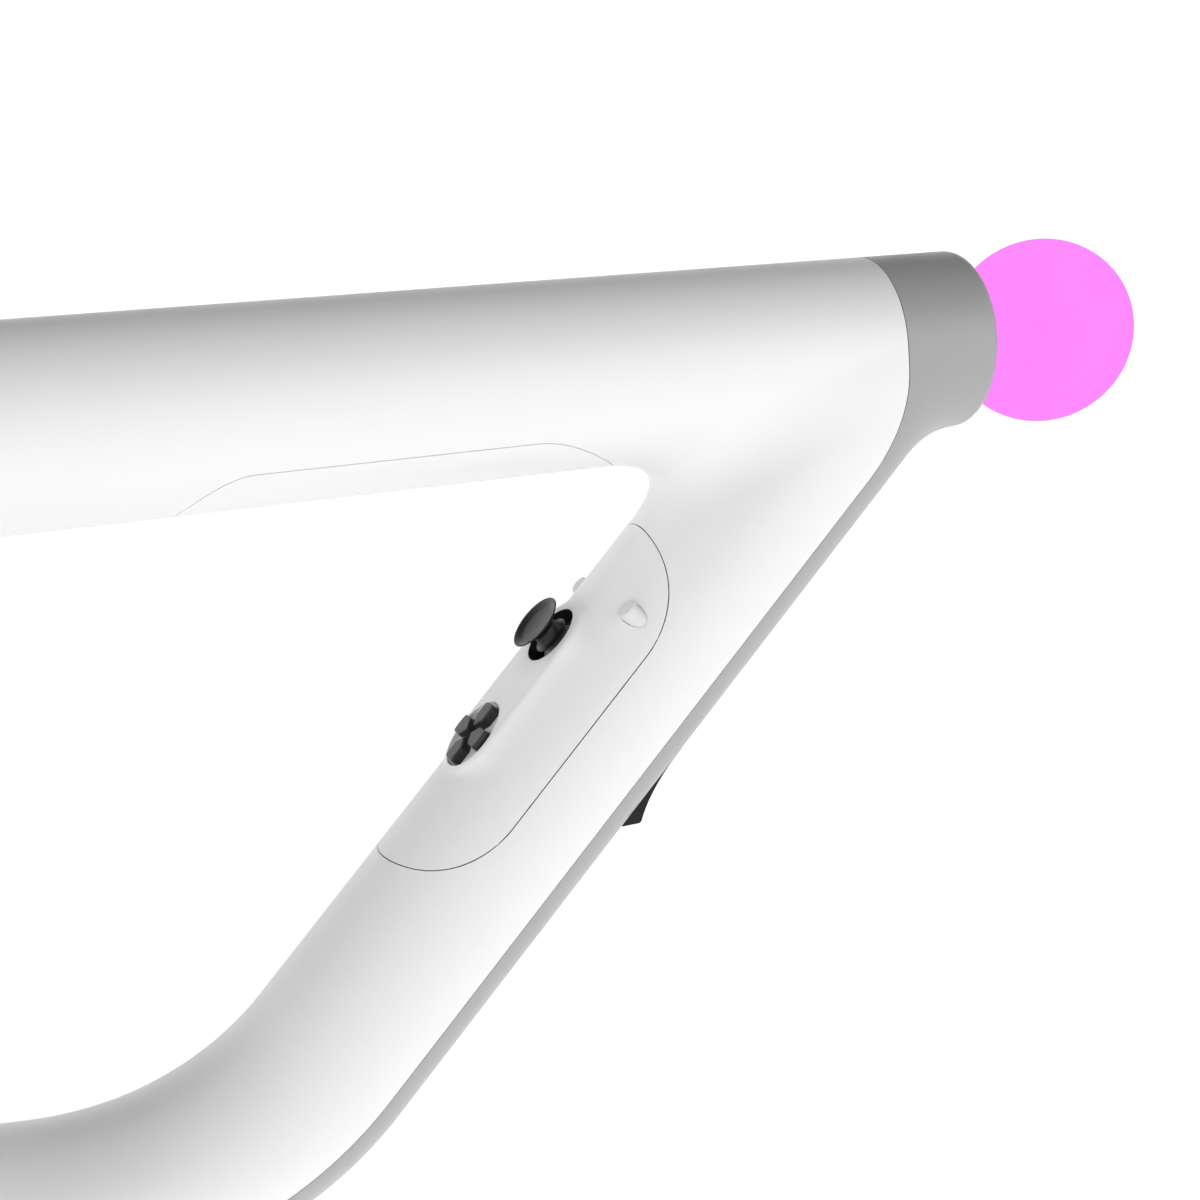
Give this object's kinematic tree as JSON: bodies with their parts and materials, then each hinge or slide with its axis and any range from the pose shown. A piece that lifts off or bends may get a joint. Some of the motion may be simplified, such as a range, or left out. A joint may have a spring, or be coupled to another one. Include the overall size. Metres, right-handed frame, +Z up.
{
  "type": "vr motion controller",
  "caption": "Two-handed VR aim controller: white tube loop with a glowing tracking ball, thumbsticks, key clusters and triggers on two grips.",
  "frame": {"origin": "middle of the footprint of the whole object, at the height of the bottom tube's underside", "axes": "+X out of the muzzle towards the tracking ball, +Y to the controller's left, +Z up, square to the top tube"},
  "size_m": [0.43, 0.0448, 0.2144],
  "materials": {
    "battery_wrap": "shrink wrap",
    "black_plastic": "satin",
    "black_rubber": "matte",
    "circuit_board": "solder mask",
    "clear_plastic": "clear moulding",
    "dark_plastic": "matte",
    "glowing_ball": "soft diffuser",
    "grey_trim": "satin",
    "steel": "bright",
    "white_shell": "satin"
  },
  "bodies": {
    "housing": {"left_shell": "white_shell", "right_shell": "white_shell", "front_spine": "grey_trim", "underside_panel": "white_shell", "front_control_pod": "white_shell", "rear_control_pod": "white_shell", "butt_pad": "black_rubber", "tracking_ball": "glowing_ball", "ball_neck": "dark_plastic", "ball_socket": "dark_plastic", "light_guide": "clear_plastic", "led_board": "circuit_board", "front_stick_bezel": "black_plastic", "front_stick_module": "dark_plastic", "rear_stick_bezel": "black_plastic", "rear_stick_module": "dark_plastic", "dpad_membrane": "black_rubber", "face_button_membrane": "black_rubber", "front_trigger_pin": "steel", "front_trigger_spring": "steel", "main_trigger_pin": "steel", "main_trigger_spring": "steel", "front_board": "circuit_board", "rear_board": "circuit_board", "main_board": "circuit_board", "battery_pack": "battery_wrap", "front_motor": "steel", "rear_motor": "steel", "usb_port": "steel", "status_light": "clear_plastic", "shell_screw_1": "steel", "shell_screw_2": "steel", "shell_screw_3": "steel", "shell_screw_4": "steel"},
    "front_stick_yoke_body": {"front_stick_yoke": "steel"},
    "front_stick_rocker_body": {"front_stick_rocker": "steel"},
    "front_stick_cap_body": {"front_stick_cap": "black_rubber", "front_stick_stem": "steel"},
    "rear_stick_yoke_body": {"rear_stick_yoke": "steel"},
    "rear_stick_rocker_body": {"rear_stick_rocker": "steel"},
    "rear_stick_cap_body": {"rear_stick_cap": "black_rubber", "rear_stick_stem": "steel"},
    "dpad_up_body": {"dpad_key_up": "black_plastic"},
    "dpad_down_body": {"dpad_key_down": "black_plastic"},
    "dpad_left_body": {"dpad_key_left": "black_plastic"},
    "dpad_right_body": {"dpad_key_right": "black_plastic"},
    "face_north_body": {"face_button_north": "black_plastic"},
    "face_south_body": {"face_button_south": "black_plastic"},
    "face_east_body": {"face_button_east": "black_plastic"},
    "face_west_body": {"face_button_west": "black_plastic"},
    "front_side_left_body": {"front_side_button_left": "white_shell"},
    "front_side_right_body": {"front_side_button_right": "white_shell"},
    "home_body": {"home_button": "black_plastic"},
    "front_trigger_body": {"front_trigger": "black_plastic"},
    "main_trigger_body": {"main_trigger": "black_plastic"},
    "front_motor_rotor": {"front_motor_weight": "steel"},
    "rear_motor_rotor": {"rear_motor_weight": "steel"}
  },
  "joints": [
    {"name": "front_stick_side_tilt", "type": "hinge", "parent": "housing", "child": "front_stick_yoke_body", "pos_m": [0.06436, 0, 0.12439], "axis": [-0.7071, 0, -0.7071], "range_deg": [-15, 15], "stiffness_Nm_per_rad": 0.02},
    {"name": "front_stick_fore_tilt", "type": "hinge", "parent": "front_stick_yoke_body", "child": "front_stick_rocker_body", "pos_m": [0.06436, 0, 0.12439], "axis": [0, -1, 0], "range_deg": [-15, 15], "stiffness_Nm_per_rad": 0.02},
    {"name": "front_stick_click", "type": "slide", "parent": "front_stick_rocker_body", "child": "front_stick_cap_body", "axis": [0.7071, 0, -0.7071], "range_m": [0, 0.0004], "stiffness_N_per_m": 3000},
    {"name": "rear_stick_side_tilt", "type": "hinge", "parent": "housing", "child": "rear_stick_yoke_body", "pos_m": [-0.0961, 0, 0.2014], "axis": [-1, 0, 0], "range_deg": [-15, 15], "stiffness_Nm_per_rad": 0.02},
    {"name": "rear_stick_fore_tilt", "type": "hinge", "parent": "rear_stick_yoke_body", "child": "rear_stick_rocker_body", "pos_m": [-0.0961, 0, 0.2014], "axis": [0, -1, 0], "range_deg": [-15, 15], "stiffness_Nm_per_rad": 0.02},
    {"name": "rear_stick_click", "type": "slide", "parent": "rear_stick_rocker_body", "child": "rear_stick_cap_body", "axis": [0, 0, -1], "range_m": [0, 0.0004], "stiffness_N_per_m": 3000},
    {"name": "dpad_up_press", "type": "slide", "parent": "housing", "child": "dpad_up_body", "axis": [0.7071, 0, -0.7071], "range_m": [0, 0.0007], "stiffness_N_per_m": 600},
    {"name": "dpad_down_press", "type": "slide", "parent": "housing", "child": "dpad_down_body", "axis": [0.7071, 0, -0.7071], "range_m": [0, 0.0007], "stiffness_N_per_m": 600},
    {"name": "dpad_left_press", "type": "slide", "parent": "housing", "child": "dpad_left_body", "axis": [0.7071, 0, -0.7071], "range_m": [0, 0.0007], "stiffness_N_per_m": 600},
    {"name": "dpad_right_press", "type": "slide", "parent": "housing", "child": "dpad_right_body", "axis": [0.7071, 0, -0.7071], "range_m": [0, 0.0007], "stiffness_N_per_m": 600},
    {"name": "face_north_press", "type": "slide", "parent": "housing", "child": "face_north_body", "axis": [0, 0, -1], "range_m": [0, 0.0009], "stiffness_N_per_m": 600},
    {"name": "face_south_press", "type": "slide", "parent": "housing", "child": "face_south_body", "axis": [0, 0, -1], "range_m": [0, 0.0009], "stiffness_N_per_m": 600},
    {"name": "face_east_press", "type": "slide", "parent": "housing", "child": "face_east_body", "axis": [0, 0, -1], "range_m": [0, 0.0009], "stiffness_N_per_m": 600},
    {"name": "face_west_press", "type": "slide", "parent": "housing", "child": "face_west_body", "axis": [0, 0, -1], "range_m": [0, 0.0009], "stiffness_N_per_m": 600},
    {"name": "front_side_left_press", "type": "slide", "parent": "housing", "child": "front_side_left_body", "axis": [0.7071, 0, -0.7071], "range_m": [0, 0.0008], "stiffness_N_per_m": 600},
    {"name": "front_side_right_press", "type": "slide", "parent": "housing", "child": "front_side_right_body", "axis": [0.7071, 0, -0.7071], "range_m": [0, 0.0008], "stiffness_N_per_m": 600},
    {"name": "home_press", "type": "slide", "parent": "housing", "child": "home_body", "axis": [0, 0, -1], "range_m": [0, 0.0006], "stiffness_N_per_m": 600},
    {"name": "front_trigger_pull", "type": "hinge", "parent": "housing", "child": "front_trigger_body", "pos_m": [0.08197, 0, 0.10508], "axis": [0, 1, 0], "range_deg": [0, 12], "stiffness_Nm_per_rad": 0.15},
    {"name": "main_trigger_pull", "type": "hinge", "parent": "housing", "child": "main_trigger_body", "pos_m": [-0.09449, 0, 0.14271], "axis": [0, 1, 0], "range_deg": [0, 14], "stiffness_Nm_per_rad": 0.15},
    {"name": "front_motor_spin", "type": "hinge", "parent": "housing", "child": "front_motor_rotor", "pos_m": [0.01457, 0, 0.05607], "axis": [-0.7071, 0, -0.7071], "continuous": true},
    {"name": "rear_motor_spin", "type": "hinge", "parent": "housing", "child": "rear_motor_rotor", "pos_m": [-0.12321, 0, 0.0898], "axis": [-0.2924, 0, -0.9563], "continuous": true}
  ]
}
